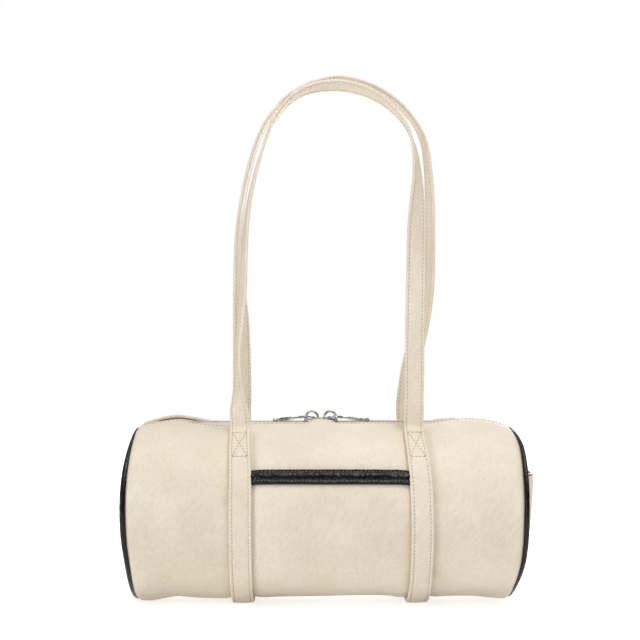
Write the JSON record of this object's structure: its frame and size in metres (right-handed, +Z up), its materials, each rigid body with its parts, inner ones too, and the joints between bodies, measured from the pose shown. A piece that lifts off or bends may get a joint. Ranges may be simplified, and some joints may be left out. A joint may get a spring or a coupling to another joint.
{
  "type": "barrel bag",
  "caption": "Lying barrel shoulder bag with piped ends, a two-way zip along the top, two straps that run on round the barrel, a bound front pocket and an end pocket.",
  "frame": {"origin": "middle of the bag's footprint box on the surface that its bands stand on", "axes": "+X along the barrel to the end with the pocket, -Y to the front with the bound pocket, +Z up"},
  "size_m": [0.3456, 0.1592, 0.4449],
  "materials": {
    "cream_leather": "satin",
    "black_leather": "semi-gloss",
    "lining_cloth": "matte",
    "stiffener_board": "matte",
    "zip_tape": "matte",
    "zip_teeth": "satin",
    "zip_metal": "polished"
  },
  "bodies": {
    "bag": {"front_panel": "cream_leather", "back_panel": "cream_leather", "end_panel_left": "cream_leather", "end_panel_right": "cream_leather", "end_pocket_panel": "cream_leather", "front_pocket_panel": "cream_leather", "strap_band_left": "cream_leather", "strap_band_right": "cream_leather", "piping_left": "black_leather", "piping_right": "black_leather", "front_pocket_binding": "black_leather", "end_pocket_binding": "black_leather", "lining_barrel": "lining_cloth", "lining_end_left": "lining_cloth", "lining_end_right": "lining_cloth", "end_stiffener_left": "stiffener_board", "end_stiffener_right": "stiffener_board", "zip_tape_front": "zip_tape", "zip_tape_back": "zip_tape", "zip_teeth_front": "zip_teeth", "zip_teeth_back": "zip_teeth", "zip_stops": "zip_metal"},
    "strap_front_legs": {"strap_front_leg_left": "cream_leather", "strap_front_leg_right": "cream_leather"},
    "strap_front_top": {"strap_front_loop": "cream_leather"},
    "strap_back_legs": {"strap_back_leg_left": "cream_leather", "strap_back_leg_right": "cream_leather"},
    "strap_back_top": {"strap_back_loop": "cream_leather"},
    "slider_left": {"slider_left": "zip_metal", "crown_left": "zip_metal"},
    "slider_right": {"slider_right": "zip_metal", "crown_right": "zip_metal"},
    "pull_left": {"pull_left": "zip_metal"},
    "pull_right": {"pull_right": "zip_metal"}
  },
  "joints": [
    {"name": "strap_front_swing", "type": "hinge", "parent": "bag", "child": "strap_front_legs", "pos_m": [-0.0052, -0.03489, 0.1499], "axis": [1, 0, 0], "range_deg": [0, 105]},
    {"name": "strap_front_fold", "type": "hinge", "parent": "strap_front_legs", "child": "strap_front_top", "pos_m": [-0.0052, -0.0313, 0.27868], "axis": [1, 0, 0], "range_deg": [0, 80]},
    {"name": "strap_back_swing", "type": "hinge", "parent": "bag", "child": "strap_back_legs", "pos_m": [-0.0052, 0.03489, 0.1499], "axis": [-1, 0, 0], "range_deg": [0, 105]},
    {"name": "strap_back_fold", "type": "hinge", "parent": "strap_back_legs", "child": "strap_back_top", "pos_m": [-0.0052, 0.0313, 0.27868], "axis": [-1, 0, 0], "range_deg": [0, 80]},
    {"name": "slider_left_slide", "type": "slide", "parent": "bag", "child": "slider_left", "axis": [-1, 0, 0], "range_m": [0, 0.1374], "deforming": ["zip_tape_front", "zip_tape_back", "zip_teeth_front", "zip_teeth_back"]},
    {"name": "slider_right_slide", "type": "slide", "parent": "bag", "child": "slider_right", "axis": [1, 0, 0], "range_m": [0, 0.1454], "deforming": ["zip_tape_front", "zip_tape_back", "zip_teeth_front", "zip_teeth_back"]},
    {"name": "pull_left_flip", "type": "hinge", "parent": "slider_left", "child": "pull_left", "pos_m": [-0.0171, 0, 0.15781], "axis": [0, 1, 0], "range_deg": [0, 95]},
    {"name": "pull_right_flip", "type": "hinge", "parent": "slider_right", "child": "pull_right", "pos_m": [-0.0013, 0, 0.15781], "axis": [0, -1, 0], "range_deg": [0, 95]}
  ]
}
